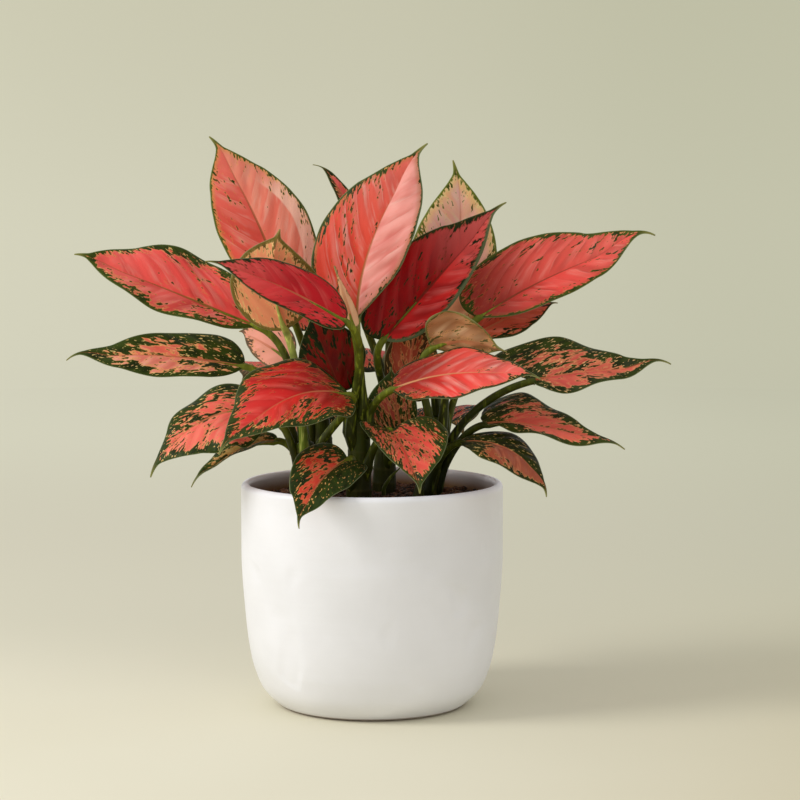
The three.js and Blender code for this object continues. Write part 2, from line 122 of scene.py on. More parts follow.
grow(
    "leaf_front_rim", "cane_centre", 156, -30, (-15.5, -50, 174.5), (-34, -88, 163), (-45.5, -116, 137.8),
    (5, 18), (19, 23), (34, 10), (24, 24), (0.34, 0.34), (9, 3), (1.5, 2, 0), (-10, 0, 6),
    slot="leaf_green", left=(200, 62, 46), right=(204, 66, 48), light=(222, 110, 80), deep=(160, 36, 26),
    green=(50, 66, 20), halo=(190, 120, 66), spots=(0.16, -0.12), heel=0.14, border=0.3, spread=8.0,
    edge=(0.5, 2.0), coarse=1.2, ground=0.5,
)
grow(
    "leaf_front_heart", "cane_centre", 166, 0, (13, -34, 192), (24, -64, 179), (32, -88, 157),
    (4, 38), (32, 23), (20, 36), (20, 20), (0.34, 0.26), (4, 11), (1, 2, 0.2), (4, 0, 0),
    left=(212, 76, 64), light=(232, 126, 98), deep=(150, 44, 36), green=(58, 72, 24), halo=(190, 130, 76),
    spots=(-0.06, -0.12), heel=0.08, spread=5.5, edge=(0.3, 1.2), ground=0.45, bands=0.35, baseward=0.3,
)
grow(
    "leaf_front_left", "cane_left", 172, 0, (-15, -40, 217), (-56, -72, 216), (-98, -96, 183),
    (-10, 46), (31, 38), (16, 14), (26, 26), (0.36, 0.4), (2, 2), (2, 2.6, 0.4), (-12, 0, 10),
    left=(190, 40, 34), right=(192, 38, 36), light=(238, 104, 92), deep=(112, 26, 16), green=(54, 68, 20),
    halo=(186, 112, 60), spots=(-0.18, -0.2), border=0.4, spread=8.0, edge=(0.4, 1.6), coarse=1.1,
    ground=0.5, bands=0.5, baseward=0.7, verge=(6.0, 0.5, (120, 40, 20)),
)
grow(
    "leaf_front_right", "cane_centre", 198, 0, (14, -34, 220), (60, -58, 233), (111, -84, 231),
    (10, 48), (26, 23), (14, 14), (26, 34), (0.38, 0.46), (4, 0), (1.5, 2.5, 0.1), (0, 0, 18),
    left=(206, 70, 60), right=(216, 58, 50), light=(252, 166, 152), deep=(130, 34, 26), halo=(186, 110, 66),
    rib=(196, 140, 96), spots=(-0.22, -0.24), spread=4.0, edge=(0.35, 1.3), bands=0.6, baseward=0.85,
    rib_reach=0.5,
)
grow(
    "leaf_magenta_left", "cane_centre", 188, -35, (-17, -52, 267), (-58, -70, 290), (-107, -84, 308),
    (-10, 40), (17, 22), (18, 18), (24, 30), (0.4, 0.4), (4, 4), (1.2, 2, 0.5), (0, 0, 10),
    slot="leaf_crimson", left=(199, 44, 48), right=(180, 26, 34), light=(214, 100, 92), deep=(148, 24, 28),
    halo=(130, 48, 34), spots=(-0.23, -0.23), border=0.22, spread=5.0, edge=(0.25, 1.0), tipward=0.5,
)
grow(
    "leaf_low_right", "cane_right", 150, 20, (76, -30, 196), (113, -50, 197), (167, -72, 184),
    (10, 55), (31, 14), (16, 24), (24, 34), (0.2, 0.62), (6, 0), (2.2, 2.2, 0.7), (6, 0, 14),
    slot="leaf_green", stalk=((24, 30, 4), (60, 68, 14)), left=(192, 80, 64), right=(208, 90, 72),
    light=(206, 120, 90), deep=(150, 48, 40), green=(56, 66, 12), halo=(176, 118, 74), spots=(-0.2, -0.28),
    heel=0.22, border=0.42, spread=7.0, edge=(0.5, 2.0), coarse=1.25,
)
grow(
    "leaf_lowest_right", "cane_right", 149, -35, (60, -34, 184.5), (94, -59, 181), (115, -84, 154),
    (30, 55), (20, 24), (10, 10), (20, 20), (0.26, 0.5), (2, 2), (1, 2, 0.6), (10, 0, 6),
    slot="leaf_green", stalk=((24, 30, 4), (60, 68, 14)), left=(150, 70, 50), right=(140, 66, 44),
    light=(190, 120, 86), deep=(96, 36, 24), green=(44, 52, 6), halo=(170, 120, 70), spots=(0.75, -0.26),
    heel=0.45, border=0.25, spread=8.0, edge=(0.4, 1.6), coarse=1.2,
)
grow(
    "leaf_mid_right", "cane_right", 171, 45, (109, -24, 225), (148, -32, 232), (200, -44, 238),
    (10, 50), (34, 17), (20, 18), (24, 30), (0.17, 0.4), (14, 0), (2.4, 2.0, 0.75), (0, 0, 24),
    slot="leaf_green", stalk=((30, 36, 4), (70, 78, 16)), left=(176, 78, 64), right=(182, 76, 66),
    light=(208, 132, 88), deep=(150, 50, 40), green=(50, 62, 12), halo=(186, 128, 84), spots=(-0.09, -0.27),
    heel=0.08, border=0.28, spread=9.0, edge=(0.6, 3.0), coarse=1.5,
)
grow(
    "leaf_high_right", "cane_right", 186, 0, (73, 4, 266), (124, 0, 295), (192, -12, 323),
    (20, 42), (37, 21), (18, 22), (22, 30), (0.36, 0.52), (8, 0), (1.0, 2, 0.1), (0, 0, 40),
    left=(202, 76, 66), right=(206, 68, 60), light=(240, 132, 118), deep=(128, 38, 28), green=(72, 84, 20),
    halo=(186, 96, 60), rib=(120, 56, 34), spots=(-0.18, -0.21), spread=4.0, edge=(0.35, 1.4), coarse=1.3,
    ground=0.3, baseward=0.8, verge=(4.0, 0.5, (150, 80, 44)),
)
grow(
    "leaf_under_right", "cane_rear_right", 183, 30, (60, 6, 247), (94, 16, 265), (128, 14, 276),
    (20, 50), (14, 16), (10, 10), (20, 20), (0.38, 0.58), (4, 4), (1, 2, 0.4), (0, 0, 8),
    slot="leaf_crimson", left=(186, 84, 58), halo=(150, 84, 50), under=(192, 110, 72),
)
grow(
    "leaf_cream_folded", "cane_right", 180, 0, (41, -22, 247), (64, -25, 252), (91, -30, 245),
    (180, 10), (10, 23), (20, 14), (30, 40), (0.5, 0.26), (0, 0), (1.5, 2, 0.2), (0, 0, 0),
    slot="leaf_cream", left=(176, 124, 82), right=(160, 108, 68), light=(236, 190, 150), deep=(96, 58, 32),
    green=(112, 120, 54), under=(172, 124, 86), border=0.2, edge=(0.1, 1.0), bands=0.9,
    verge=(5.0, 0.5, (124, 84, 44)), crumple=2.4,
)
# leaf_upper_centre: the paler pink of its right half is painted light, where that half faces the lamp
grow(
    "leaf_upper_centre", "cane_centre", 214, 0, (-10, -16, 265), (2, -15, 323), (38, -4, 385),
    (-8, 22), (38, 27), (12, 20), (20, 30), (0.42, 0.54), (4, 0), (1.5, 2, 0.7), (-14, 0, 6),
    stalk=((52, 66, 16), (134, 140, 70)), left=(206, 72, 54), right=(250, 140, 130), light=(252, 176, 164),
    deep=(176, 46, 34), green=(66, 80, 30), halo=(180, 110, 60), rib=(150, 104, 58), spots=(-0.18, -0.3),
    border=0.24, spread=5.0, edge=(0.3, 1.2), bands=0.2, rib_reach=0.45, verge=(5.0, 0.45, (170, 116, 66)),
    shine=(1, 1.4, 0.5),
)
# leaf_upper_dark_right: the dark red of its left half, with few pale bands there, is painted shade cast by
# leaf_upper_centre
grow(
    "leaf_upper_dark_right", "cane_rear", 204, 0, (8, -8, 252), (47, -2, 296), (92, 8, 345),
    (20, 30), (33, 20), (18, 14), (20, 20), (0.38, 0.38), (9, 0), (1.2, 2, 0), (-8, 0, 14),
    slot="leaf_crimson", left=(150, 4, 8), right=(196, 34, 32), light=(236, 112, 106), deep=(104, 4, 6),
    halo=(120, 44, 26), rib=(96, 30, 14), spots=(-0.2, -0.25), border=0.25, spread=5.0, edge=(0.4, 1.6),
    bands=0.5, left_light=0.15, baseward=0.2, tipward=0.5, shine=(1, 3.2, 0.5),
)
grow(
    "leaf_upper_rear_right", "cane_rear_right", 196, 0, (41, 24, 253), (60, 30, 313), (56, 34, 374),
    (10, 20), (34, 29), (15, 15), (20, 20), (0.45, 0.38), (6, 6), (1.2, 2, 0.3), (2, 0, 0),
    slot="leaf_pale", left=(255, 170, 160), right=(255, 168, 150), light=(244, 206, 160),
    deep=(232, 156, 110), green=(108, 120, 36), halo=(222, 208, 140), spots=(-0.19, -0.19), border=0.3,
    spread=5.0, edge=(0.3, 1.0), ground=0.4, baseward=0.75, tipward=0.0, verge=(9.0, 0.65, (240, 200, 124)),
    glow=0.1,
)
grow(
    "leaf_upper_left", "cane_rear_left", 196, 0, (-58, 5, 278), (-82, 16, 338), (-112, 20, 390),
    (0, 30), (29, 35), (10, 14), (14, 30), (0.44, 0.36), (3, 3), (1.2, 2, 0.1), (10, 0, 4),
    left=(246, 90, 76), right=(250, 126, 104), light=(252, 168, 150), deep=(196, 66, 52),
    green=(84, 98, 30), halo=(206, 150, 78), rib=(140, 84, 44), spots=(-0.22, -0.24), spread=4.0,
    # the pale strip on its right half is painted light
    edge=(0.22, 1.2), ground=0.5, verge=(4.5, 0.5, (224, 160, 84)), strip=(1, 12.0, 0.68, (255, 202, 178)),
)
grow(
    "leaf_upper_rear", "cane_rear", 212, 0, (-10, 42, 284), (-17, 48, 341), (-42, 52, 371),
    (0, 30), (6, 7), (14, 14), (20, 20), (0.4, 0.4), (4, 4), (1, 2, 0), (8, 0, 8),
    slot="leaf_crimson", left=(150, 70, 50), right=(200, 84, 80), spots=(-0.2, -0.28), border=0.12,
)
grow(
    "leaf_high_left", "cane_left", 184, 0, (-77, -3, 260), (-140, -6, 286), (-202, -8, 310),
    (-10, 36), (17, 33), (12, 20), (20, 30), (0.5, 0.44), (0, 0), (3.2, 2.5, 0.5), (0, 0, 14),
    left=(206, 84, 76), right=(216, 76, 70), light=(244, 132, 120), deep=(160, 40, 34), green=(66, 80, 18),
    rib=(120, 84, 34), spots=(-0.2, -0.2), border=0.3, spread=7.0, edge=(0.4, 1.5), coarse=1.2, ground=0.45,
    bands=0.5,
)
grow(
    "leaf_mid_left", "cane_left", 168, -9, (-88, 11.5, 232), (-151, 4, 240), (-208, -10, 238),
    (-10, 42), (18, 23), (14, 14), (24, 24), (0.42, 0.28), (0, 0), (1.6, 2.2, 0.65), (0, 0, 26),
    slot="leaf_green", left=(240, 132, 112), right=(222, 108, 86), light=(246, 168, 146),
    deep=(186, 74, 58), green=(58, 74, 18), halo=(220, 158, 96), spots=(-0.18, -0.05), heel=0.12,
    border=0.3, spread=9.0, edge=(0.4, 1.6), coarse=1.5, ground=0.7, tipward=0.3,
)
grow(
    "leaf_low_left", "cane_left", 158, 9, (-71, -18, 202), (-114, -30, 199), (-148, -44, 162),
    (-30, 40), (38, 25), (14, 14), (26, 26), (0.42, 0.32), (4, 4), (2.4, 2.6, 0.2), (-8, 0, 10),
    slot="leaf_green", left=(228, 98, 84), right=(226, 96, 82), light=(234, 144, 120), deep=(196, 66, 54),
    green=(54, 70, 18), spots=(-0.16, -0.03), border=0.32, spread=8.0, edge=(0.5, 1.8), coarse=1.2,
    ground=0.5,
)
grow(
    "leaf_curled_left", "cane_left", 150, -45, (-65, -2, 182), (-93, -8, 175), (-123, -18, 152),
    (-30, 60), (12, 12), (30, 30), (10, 10), (0.4, 0.4), (2, 2), (1, 2, 0), (-6, 0, 14),
    slot="leaf_green", left=(150, 150, 84), right=(156, 150, 86), light=(198, 186, 126), green=(64, 82, 30),
    under=(196, 184, 126), under_mix=0.8, spots=(-0.07, -0.07),
)
grow(
    "leaf_cream_back", "cane_left", 170, 38, (-58, -28, 260), (-65, -42, 293), (-60, -56, 328),
    (180, 20), (31, 31), (20, 20), (10, 10), (0.42, 0.42), (2, 2), (1, 2, 0.4), (0, 0, 0),
    slot="leaf_pale", stalk=((90, 108, 24), (160, 170, 84)), left=(206, 96, 62), green=(84, 92, 14),
    halo=(206, 188, 120), under=(238, 148, 108), under_mix=0.75, spots=(-0.16, -0.16), border=0.2,
    spread=7.0, edge=(0.25, 1.6), hem=2.0, verge=(8.0, 0.7, (222, 140, 60)),
)
grow(
    "leaf_pink_under", "cane_rear_left", 165, 25, (-58, 36, 235), (-79, 58, 246), (-96, 80, 252),
    (180, 10), (22, 14), (10, 10), (20, 20), (0.38, 0.38), (4, 4), (1, 2, 0.1), (0, 0, 6),
    under=(244, 158, 138), under_mix=0.8,
)
grow(
    "leaf_dark_inner", "cane_centre", 190, 0, (-22, -12, 217), (-31, -14, 242), (-43, -8, 271),
    (10, 30), (23.3, 27), (16, 16), (20, 20), (0.38, 0.46), (6, 6), (1, 2, 0.2), (0, 0, 0),
    slot="leaf_crimson", left=(134, 16, 10), right=(116, 18, 10), light=(120, 40, 26), deep=(54, 10, 4),
    green=(36, 52, 12), halo=(96, 40, 18), rib=(110, 40, 24), spots=(-0.12, -0.2), border=0.3, spread=9.0,
    coarse=1.4,
)
grow(
    "leaf_red_under", "cane_rear_right", 164, -60, (26, 2, 210), (27, 8, 242), (34, 14, 268),
    (180, 10), (20, 18), (10, 10), (20, 20), (0.38, 0.38), (4, 4), (1, 2, 0.5), (0, 0, 0),
    slot="leaf_crimson", left=(140, 44, 28), under=(150, 66, 40), under_mix=0.75, spots=(-0.12, -0.12),
    coarse=1.3,
)
grow(
    "leaf_new_spear", "cane_centre", 208, 30, (-12, -30, 261), (-17, -29, 279), (-25, -28, 303),
    (180, 10), (8, 8), (24, 24), (-60, -60), (0.25, 0.25), (0, 0), (0, 2, 0), (0, 0, 0),
    slot="leaf_cream", left=(196, 144, 94), light=(220, 180, 130), deep=(170, 100, 66),
    green=(110, 120, 50), under=(222, 176, 136), under_mix=0.85, spots=(-0.3, -0.3), border=0.1, hem=0.5,
)
grow(
    "leaf_inner_low", "cane_rear", 170, 0, (20, -2, 189), (16, -4, 211), (13, -2, 233),
    (0, 20), (22, 14), (16, 16), (20, 20), (0.38, 0.38), (4, 4), (1, 2, 0.3), (0, 0, 0),
    slot="leaf_green", left=(150, 70, 50), green=(58, 74, 18), under=(96, 110, 40), spots=(-0.05, -0.05),
)
grow(
    "leaf_back_high", "cane_rear", 206, 0, (12, 48, 266), (14, 84, 302), (18, 122, 290),
    (180, 75), (30, 32), (16, 16), (22, 26), (0.38, 0.38), (6, 6), (1.5, 2, 0), (0, 6, 16),
    spots=(-0.23, -0.23),
)
grow(
    "leaf_back_high_left", "cane_rear_left", 192, -15, (-42, 46, 256), (-64, 80, 286), (-92, 112, 280),
    (215, 75), (30, 28), (16, 16), (26, 22), (0.38, 0.4), (6, 6), (1.5, 3, 0.2), (-6, 6, 16),
    left=(214, 84, 70), right=(206, 72, 60), spots=(-0.20, -0.20),
)
grow(
    "leaf_back_high_right", "cane_rear_right", 188, 25, (60, 46, 254), (86, 80, 282), (114, 114, 274),
    (145, 75), (29, 31), (16, 16), (22, 28), (0.4, 0.38), (6, 6), (1.5, 3, 0.6), (6, 6, 16),
    left=(196, 62, 52), right=(214, 86, 74), spots=(-0.21, -0.21),
)
grow(
    "leaf_back_mid", "cane_rear", 190, 0, (6, 58, 226), (10, 98, 236), (16, 140, 214),
    (180, 72), (30, 28), (16, 16), (26, 26), (0.38, 0.36), (6, 6), (1.5, 2, 0.5), (0, 8, 14),
    left=(206, 74, 62), right=(200, 66, 56), spots=(-0.16, -0.16), spread=8.0,
)
grow(
    "leaf_back_mid_left", "cane_rear_left", 170, 12, (-56, 66, 217), (-76, 96, 228), (-98, 128, 208),
    (215, 70), (28, 30), (14, 16), (24, 26), (0.36, 0.38), (6, 6), (1.5, 2, 0.1), (-6, 8, 14),
    slot="leaf_green", spots=(-0.11, -0.11), spread=9.0,
)
grow(
    "leaf_back_mid_right", "cane_rear_right", 169, -30, (66, 54, 222), (92, 88, 232), (118, 122, 210),
    (145, 70), (30, 27), (16, 14), (26, 24), (0.38, 0.36), (6, 6), (1.5, 3, 0.8), (6, 8, 14),
    left=(190, 54, 46), right=(196, 60, 50), spots=(-0.16, -0.16), spread=8.0,
)
grow(
    "leaf_back_low_left", "cane_rear_left", 160, -35, (-40, 66, 190), (-52, 98, 190), (-62, 126, 158),
    (200, 54), (26, 24), (14, 14), (24, 24), (0.34, 0.36), (6, 8), (1.2, 2, 0.4), (-3, 8, 8),
    slot="leaf_green", spots=(-0.10, -0.10), spread=9.0,
)
grow(
    "leaf_back_low_right", "cane_rear_right", 162, 0, (44, 64, 188), (56, 97, 194), (66, 126, 170),
    (165, 54), (24, 27), (14, 14), (24, 24), (0.36, 0.34), (8, 6), (1.2, 2, 0.9), (3, 8, 8),
    slot="leaf_green", spots=(-0.08, -0.08), spread=9.0,
)


# ---- shader helpers ----
def linear(colour):
    """An sRGB colour from 0 to 255 as linear RGBA."""
    parts = []
    for part in colour:
        c = part / 255
        parts.append(c / 12.92 if c <= 0.04045 else ((c + 0.055) / 1.055) ** 2.4)
    return (*parts, 1.0)


def node(tree, kind, inputs, output=0, **settings):
    """One output of a new shader node. Values among the inputs are linked, the others are set."""
    made = tree.nodes.new(kind)
    for key, value in settings.items():
        setattr(made, key, value)
    for key, value in inputs.items():
        if isinstance(value, Value):
            tree.links.new(value.socket, made.inputs[key])
        else:
            made.inputs[key].default_value = value
    return Value(made.outputs[output])


class Value:
    """What a shader node puts out, with short ways to work on from it."""

    def __init__(self, socket):
        self.socket = socket
        self.tree = socket.id_data

    def math(self, operation, other=0.0):
        return node(self.tree, "ShaderNodeMath", {0: self, 1: other}, operation=operation)

    def __add__(self, other):
        return self.math("ADD", other)

    def __mul__(self, other):
        return self.math("MULTIPLY", other)

    def swing(self, size):
        """Noise between 0 and 1, moved to lie round 0 and scaled."""
        return (self + -0.5) * size

    def span(self, low, high, start, end, curve="LINEAR"):
        """Carried from low..high to start..end, and held there beyond."""
        inputs = {"Value": self, "From Min": low, "From Max": high, "To Min": start, "To Max": end}
        return node(self.tree, "ShaderNodeMapRange", inputs, interpolation_type=curve)

    def step(self, low, high):
        """0 below low, 1 above high, smooth between."""
        return self.span(low, high, 0.0, 1.0, "SMOOTHSTEP")

    def fall(self, low, high):
        """1 below low, 0 above high, smooth between."""
        return self.span(low, high, 1.0, 0.0, "SMOOTHSTEP")

    def part(self, k):
        return node(self.tree, "ShaderNodeSeparateXYZ", {0: self}, k)

    def stretched(self, *scale):
        return node(self.tree, "ShaderNodeMapping", {"Vector": self, "Scale": scale})

    def noise(self, scale=1.0, detail=2.0, roughness=0.5):
        inputs = {"Vector": self, "Scale": scale, "Detail": detail, "Roughness": roughness}
        return node(self.tree, "ShaderNodeTexNoise", inputs)

    def blend(self, a, b):
        """Colour a where this value is 0, and colour b where it is 1."""
        a, b = (c if isinstance(c, Value) else linear(c) for c in (a, b))
        return node(self.tree, "ShaderNodeMix", {0: self, 6: a, 7: b}, 2, data_type="RGBA")

    def bump(self, distance):
        return node(self.tree, "ShaderNodeBump", {"Height": self, "Distance": distance})


class Skin:
    """A material that starts as one colour and has others laid over it."""

    def __init__(self, name, colour):
        self.material = bpy.data.materials.new(name)
        self.material.use_nodes = True
        self.tree = self.material.node_tree
        self.tree.nodes.clear()
        self.colour = colour

    def place(self):
        return node(self.tree, "ShaderNodeTexCoord", {}, "Object")

    def attribute(self, name):
        return node(self.tree, "ShaderNodeAttribute", {}, "Fac", attribute_name=name)

    def lay(self, colour, share):
        self.colour = share.blend(self.colour, colour)

    def finish(self, inputs, glow=0.0):
        """The finished material, with glow as the share of light that passes through."""
        surface = node(self.tree, "ShaderNodeBsdfPrincipled", {"Base Color": self.colour, **inputs})
        if glow:
            through = node(self.tree, "ShaderNodeBsdfTranslucent", {"Color": self.colour})
            surface = node(self.tree, "ShaderNodeMixShader", {0: glow, 1: surface, 2: through})
        made = self.tree.nodes.new("ShaderNodeOutputMaterial")
        self.tree.links.new(surface.socket, made.inputs["Surface"])
        return self.material


# ---- mesh helpers ----
def eased(x, xs, ys):
    """A monotone cubic through the points (xs, ys), at x."""
    gaps = np.diff(xs)
    slopes = np.diff(ys) / gaps
    bends = np.zeros(len(xs))
    same = slopes[:-1] * slopes[1:] > 0
    bends[1:-1][same] = (2 * slopes[:-1] * slopes[1:])[same] / (slopes[:-1] + slopes[1:])[same]
    bends[0], bends[-1] = slopes[0], slopes[-1]
    i = np.clip(np.searchsorted(xs, x) - 1, 0, len(xs) - 2)
    k = (x - xs[i]) / gaps[i]
    rise = ys[i] * (1 + 2 * k) * (1 - k) ** 2 + ys[i + 1] * k * k * (3 - 2 * k)
    return rise + gaps[i] * (bends[i] * k * (1 - k) ** 2 - bends[i + 1] * k * k * (1 - k))


def unit(v):
    return v / np.maximum(np.linalg.norm(v, axis=-1, keepdims=True), 1e-9)


def travelled(path):
    """The length of the path up to each of its points."""
    return np.concatenate([[0], np.cumsum(np.linalg.norm(np.diff(path, axis=0), axis=1))])


def facing(azimuth, elevation):
    a, e = math.radians(azimuth), math.radians(elevation)
    return np.array([math.sin(a) * math.cos(e), -math.cos(a) * math.cos(e), math.sin(e)])


def new_object(name, points, faces, material):
    mesh = bpy.data.meshes.new(name)
    mesh.from_pydata(points, [], faces)
    mesh.validate()
    mesh.shade_smooth()
    mesh.materials.append(material)
    made = bpy.data.objects.new(name, mesh)
    bpy.context.scene.collection.objects.link(made)
    return made


def piece(name, mesh, material, cad_name):
    """A smooth mesh piece that stands for a CAD node. mesh is its points in millimetres, its faces
    and the values that its material reads at each point."""
    points, faces, values = mesh
    made = new_object(name, (np.asarray(points) * MM).tolist(), faces, material)
    for key, numbers in values.items():
        layer = made.data.attributes.new(key, "FLOAT", "POINT")
        layer.data.foreach_set("value", np.asarray(numbers, dtype=np.float32).ravel())
    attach(made, "root")
    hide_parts(cad_name)


def sleeve(rows, sides):
    """Faces of a tube of rows rings, with both ends shut by the last two faces."""
    faces = []
    for i in range(rows - 1):
        for j in range(sides):
            a = i * sides + j
            b = i * sides + (j + 1) % sides
            faces.append((a, b, b + sides, a + sides))
    faces.append(tuple(reversed(range(sides))))
    faces.append(tuple(range((rows - 1) * sides, rows * sides)))
    return faces


def tube(path, radii, sides):
    """Points of a tube along path with a radius at each point, ring by ring."""
    path = np.asarray(path, dtype=float)
    rings = []
    side = np.array([0.0, 1.0, 0.0])
    angles = 2 * np.pi * np.arange(sides) / sides
    for i, centre in enumerate(path):
        along = unit(path[min(i + 1, len(path) - 1)] - path[max(i - 1, 0)])
        side = unit(side - along * side.dot(along))
        other = np.cross(along, side)
        ring = np.outer(np.cos(angles), side) + np.outer(np.sin(angles), other)
        rings.append(centre + ring * radii[i])
    return np.concatenate(rings)


def lathe(rows, sides):
    """A closed round body. rows are radius and height, from one end to the other."""
    angles = 2 * np.pi * np.arange(sides) / sides
    points = [(r * math.cos(a), r * math.sin(a), z) for r, z in rows for a in angles]
    return np.array(points), sleeve(len(rows), sides)


# ---- leaf blades ----
ROWS = 88
HALF_COLUMNS = 18
THICK = (0.8, 0.4)  # at the midrib and near the margin
PLEAT = 0.75  # height of the pleats at the side veins
SLOW_WAVE = 0.9  # height of the slow waves
RIB_DEPTH = (0.3, 0.9)  # how deep the midrib's groove is, and how far it stands out below
VEIN_GAP = 16.0
VEIN_LEAN = 0.95


def outline(s, belly):
    return eased(s ** (math.log(STANDARD_BELLY) / math.log(belly)), OUTLINE_S, OUTLINE_W)


def midrib(leaf, s):
    base, middle, tip = (np.array(p, dtype=float) for p in (leaf.base, leaf.middle, leaf.tip))
    pull = 2 * middle - (base + tip) / 2
    s = np.asarray(s, dtype=float)[..., None]
    x = np.maximum((s - BOW_FROM) / (1 - BOW_FROM), 0)
    bow = np.array(leaf.bow) * x * x * (1 - x)
    return (1 - s) ** 2 * base + 2 * s * (1 - s) * pull + s * s * tip + bow


def blade_rows():
    """Places along the blade from 0 to 1, closer together at both ends."""
    even = np.linspace(0, 1, ROWS)
    return 0.55 * even + 0.45 * (0.5 - 0.5 * np.cos(np.pi * even))


def blade_columns():
    """Places across the blade from -1 to 1, closer together at the midrib."""
    u = (np.arange(HALF_COLUMNS + 1) / HALF_COLUMNS) ** 1.3
    return np.concatenate([-u[:0:-1], u])


def blade_sheet(leaf, s, t):
    """The blade's middle surface: its points, the way up at each row, and each point's distances
    along the midrib and away from it in the flattened blade."""
    faced = facing(*leaf.faces)
    centre = midrib(leaf, s)
    along = unit(midrib(leaf, s + 0.001) - midrib(leaf, s - 0.001))
    up = unit(faced - along * (along @ faced)[:, None])
    side = np.cross(along, up)
    grid = np.zeros((ROWS, len(t), 3))
    reach, back = np.zeros((2, ROWS, len(t)))
    height, count, start = leaf.ripple
    for k, sign in ((0, -1), (1, 1)):
        columns = np.arange(HALF_COLUMNS + 1) + k * HALF_COLUMNS
        across = np.abs(t[columns])[None, :]
        share = np.clip(outline(s, leaf.bellies[k]), 0, 1)[:, None]
        width = np.maximum(share * leaf.widths[k], 0.25 + 0.35 * (1 - s[:, None]))
        fold, bend = math.radians(leaf.folds[k]), math.radians(leaf.bends[k])
        out = width * (math.sin(fold) - np.sin(fold - bend * across)) / bend
        rise = width * (np.cos(fold - bend * across) - math.cos(fold)) / bend
        phase = count * s[:, None] + start + 0.35 * k
        ripple = height * across**2 * np.sin(2 * np.pi * phase) * np.minimum(share * 1.5, 1)
        lobe = leaf.lobes[k] / 0.3 * share * np.maximum(1 - s[:, None] / 0.3, 0) ** 2 * across
        block = centre[:, None] + side[:, None] * (sign * out)[..., None]
        block = block + up[:, None] * (rise + ripple)[..., None] - along[:, None] * lobe[..., None]
        grid[:, columns] = block
        reach[:, columns] = width * across
        back[:, columns] = lobe
    return grid, up, travelled(centre)[:, None] - back, reach


def margin_distance(far, reach):
    """Each point's distance from the margin of its half, in the flattened blade."""
    rim = np.zeros_like(reach)
    for columns, edge in ((slice(0, HALF_COLUMNS + 1), 0), (slice(HALF_COLUMNS, None), -1)):
        ahead = far[:, columns, None] - far[:, edge]
        aside = reach[:, columns, None] - reach[:, edge]
        rim[:, columns] = np.hypot(ahead, aside).min(axis=2)
    return rim


def relief(far, reach, vein, rim, seed, crumple):
    """How far the blade lifts off its sheet: pleats at the side veins, slow waves and creases."""
    margin = np.clip(rim / 5, 0, 1)
    beat = vein / VEIN_GAP + 0.3 * np.sin(seed) + 0.35 * np.sin(far / 31 + seed)
    pleats = PLEAT * (np.abs(np.sin(np.pi * beat)) - 0.6) * np.clip(reach / 5, 0, 1) * margin
    slow = SLOW_WAVE * np.sin(far / 17 + seed) * np.sin(reach / 9 + 2 * seed)
    slow = slow * np.clip(rim / 8, 0, 1)
    creases = np.sin(far / 4.6 + reach / 3.4 + 1) * np.cos(far / 8 - reach / 5)
    return pleats + slow + crumple * creases * margin


def shell_faces(rows, columns):
    """Faces between two grids of points, the upper one first, closed along their edge."""
    count = rows * columns
    faces = []
    for i in range(rows - 1):
        for j in range(columns - 1):
            a = i * columns + j
            b = a + columns
            faces.append((a, a + 1, b + 1, b))
            faces.append((count + a, count + b, count + b + 1, count + a + 1))
    loop = [i * columns for i in range(rows - 1, 0, -1)]
    loop += list(range(columns))
    loop += [i * columns + columns - 1 for i in range(1, rows)]
    loop += [(rows - 1) * columns + j for j in range(columns - 2, 0, -1)]
    for a, b in zip(loop, loop[1:] + loop[:1]):
        faces.append((b, a, count + a, count + b))
    return faces


def blade(leaf, seed):
    """The blade as a thin closed shell: points, faces and the values its material reads."""
    s, t = blade_rows(), blade_columns()
    grid, up, far, reach = blade_sheet(leaf, s, t)
    vein = far - VEIN_LEAN * reach - 0.5 * reach**2 / np.mean(leaf.widths)
    rim = margin_distance(far, reach)
    normal = unit(np.cross(np.gradient(grid, axis=1), np.gradient(grid, axis=0)))
    normal *= np.sign(np.sum(normal * up[:, None], axis=2, keepdims=True) + 1e-6)
    lift = relief(far, reach, vein, rim, seed, leaf.look["crumple"])
    rib = np.exp(-((reach / 1.3) ** 2)) * (1 - 0.7 * s[:, None])
    half = (THICK[0] + (THICK[1] - THICK[0]) * np.abs(t)) / 2
    half = half * np.clip(rim / 0.8 + 0.35, 0, 1)
    top = grid + normal * (lift + half - RIB_DEPTH[0] * rib)[..., None]
    below = grid + normal * (lift - half - RIB_DEPTH[1] * rib)[..., None]
    across, share = t + 0 * reach, s[:, None] + 0 * reach
    values = {"reach": reach, "vein": vein, "rim": rim, "across": across, "share": share}
    values = {key: np.tile(numbers.ravel(), 2) for key, numbers in values.items()}
    values["under"] = np.repeat([0.0, 1.0], reach.size)
    points = np.concatenate([top.reshape(-1, 3), below.reshape(-1, 3)])
    return points, shell_faces(ROWS, len(t)), values


LIT = ("left", "right", "light", "deep", "halo", "under", "rib")
LEAF_GAIN = 1.32
EDGE_HIGHLIGHT_COLOUR = (150, 156, 112)
TIP_COLOUR = (150, 146, 78)
SHINE_COLOUR = (126, 140, 100)
CREAM_LIFT = (26, 46, 34)


def lit(colour):
    """A leaf colour brightened for the shade inside the plant."""
    return [min(c * LEAF_GAIN ** (1 / 2.2), 246) for c in colour]


